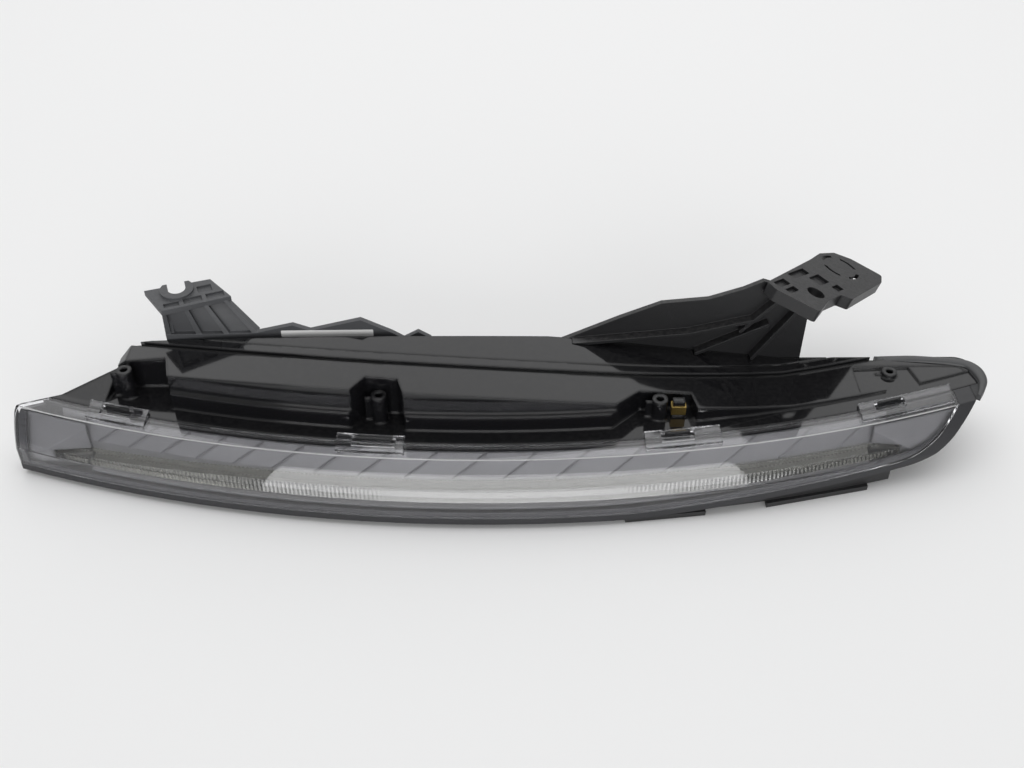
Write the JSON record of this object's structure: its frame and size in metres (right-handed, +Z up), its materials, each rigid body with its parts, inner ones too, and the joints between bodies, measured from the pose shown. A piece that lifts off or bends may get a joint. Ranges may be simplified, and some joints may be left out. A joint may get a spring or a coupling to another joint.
{
  "type": "daytime running light",
  "caption": "Long curved car daytime running light: clear lens over a toothed light guide, stepped gloss panel, slotted bracket at one end and a bored arm at the other.",
  "frame": {"origin": "centre of the bounding box's base, on the surface the lamp rests on", "axes": "+X along the lamp to its outboard end, which carries the long arm; the lens faces -Y; +Z is up"},
  "size_m": [0.6735, 0.1941, 0.1174],
  "materials": {
    "bracket_grey": "fine-grained moulded plastic",
    "housing_black": "fine-grained moulded plastic",
    "gloss_black": "high gloss",
    "lens_clear": "clear and polished",
    "border_grey": "matte",
    "seal_rubber": "matte",
    "guide_clear": "clear with a toothed back",
    "reflector_grey": "satin",
    "clip_zinc": "yellow zinc plate",
    "board_white": "solder-mask white",
    "led_yellow": "phosphor under silicone",
    "sink_aluminium": "extruded",
    "screw_steel": "zinc plate",
    "case_black": "matte",
    "board_green": "solder mask",
    "blade_brass": "tinned brass",
    "lead_black": "smooth"
  },
  "bodies": {
    "root": {"housing": "housing_black", "inboard_bracket": "bracket_grey", "outboard_bracket": "housing_black", "bracket_rivets": "screw_steel", "upper_panel": "gloss_black", "outer_lens": "lens_clear", "lens_border": "border_grey", "lens_seal": "seal_rubber", "light_guide": "guide_clear", "reflector": "reflector_grey", "inboard_end_cover": "reflector_grey", "outboard_end_cover": "reflector_grey", "spring_clip": "clip_zinc", "inboard_led_board": "board_white", "outboard_led_board": "board_white", "inboard_led": "led_yellow", "outboard_led": "led_yellow", "inboard_heat_sink": "sink_aluminium", "outboard_heat_sink": "sink_aluminium", "board_screws": "screw_steel", "driver_case": "case_black", "driver_cover": "sink_aluminium", "driver_board": "board_green", "driver_screws": "screw_steel", "connector_socket": "case_black", "connector_pins": "blade_brass", "socket_gasket": "seal_rubber", "vent_cap": "case_black", "feed_lead": "lead_black", "inboard_lead": "lead_black", "outboard_lead": "lead_black", "lead_grommets": "seal_rubber"}
  },
  "joints": []
}
